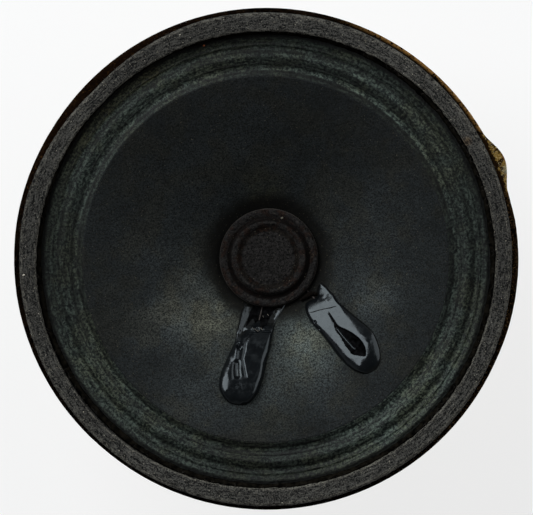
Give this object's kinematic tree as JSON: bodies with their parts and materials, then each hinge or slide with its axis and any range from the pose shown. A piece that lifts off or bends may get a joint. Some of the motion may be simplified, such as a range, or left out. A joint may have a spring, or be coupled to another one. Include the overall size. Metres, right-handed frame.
{
  "type": "miniature loudspeaker",
  "caption": "Small round moving-coil loudspeaker: stamped basket with a locating ear, felt gasket, paper cone with dust cap, slug magnet in a strap yoke and a solder-tag board.",
  "frame": {"origin": "centre of the yoke's flat rear face, on the voice coil's axis", "axes": "+Z along the voice coil's axis towards the cone; -Y towards the terminal board; the yoke's two legs stand on the X axis"},
  "size_m": [0.0668, 0.066, 0.03],
  "materials": {
    "frame": "yellow-passivated zinc plating",
    "gasket": "charcoal felt",
    "cone": "grey-green pressed paper",
    "surround": "corrugated paper",
    "dust_cap": "pressed felt",
    "coil_former": "kraft paper",
    "coil_winding": "enamelled copper wire",
    "neck_adhesive": "dark adhesive",
    "spider_adhesive": "brown adhesive",
    "spider": "impregnated cotton",
    "steel": "zinc-plated soft iron",
    "magnet": "as cast, ground ends",
    "board": "laminated phenolic paper",
    "rivet": "bright",
    "tag": "tinned",
    "eyelet": "bright",
    "solder": "tin and lead solder",
    "tinsel": "braided copper tinsel",
    "coil_wire": "enamelled copper wire",
    "adhesive": "glossy black adhesive"
  },
  "bodies": {
    "chassis": {"frame": "frame", "gasket": "gasket", "surround": "surround", "spider": "spider", "top_plate": "steel", "pole_piece": "steel", "magnet": "magnet", "yoke": "steel", "terminal_board": "board", "board_rivet": "rivet", "terminal_tag_left": "tag", "terminal_tag_right": "tag", "tag_eyelets": "eyelet", "tag_solder": "solder", "tinsel_lead_left": "tinsel", "tinsel_lead_right": "tinsel"},
    "cone_assembly": {"cone": "cone", "dust_cap": "dust_cap", "coil_former": "coil_former", "coil_winding": "coil_winding", "neck_adhesive": "neck_adhesive", "spider_adhesive": "spider_adhesive", "lead_splice_left": "tinsel", "lead_splice_right": "tinsel", "coil_lead_left": "coil_wire", "coil_lead_right": "coil_wire", "lead_adhesive_left": "adhesive", "lead_adhesive_right": "adhesive"}
  },
  "joints": [
    {"name": "cone_travel", "type": "slide", "parent": "chassis", "child": "cone_assembly", "axis": [0, 0, 1], "range_m": [-0.001, 0.001], "stiffness_N_per_m": 1500, "deforming": ["surround", "spider", "tinsel_lead_left", "tinsel_lead_right"]}
  ]
}
